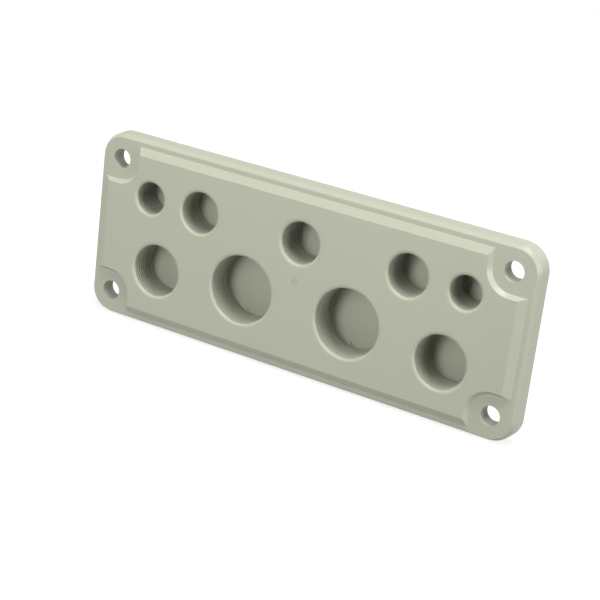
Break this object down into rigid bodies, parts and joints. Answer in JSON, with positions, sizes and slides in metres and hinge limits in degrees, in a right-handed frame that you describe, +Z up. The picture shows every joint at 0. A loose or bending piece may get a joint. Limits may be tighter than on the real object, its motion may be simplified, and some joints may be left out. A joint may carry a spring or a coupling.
{
  "type": "cable entry plate",
  "caption": "Moulded flange plate with bevelled front panel, threaded blind wells for cable glands, corner fixing holes, ribbed hollow back and a seal.",
  "frame": {"origin": "middle of the four fixing holes, on the plane where the flange seats on the enclosure", "axes": "+X along the plate to the right seen from the front, +Z up, the front with the gland wells faces -Y"},
  "size_m": [0.215, 0.0158, 0.0848],
  "materials": {
    "moulding": "fine satin grain, pebble grey",
    "seal": "matt closed-cell foam skin"
  },
  "bodies": {
    "root": {"entry_plate": "moulding", "sealing_gasket": "seal"}
  },
  "joints": []
}
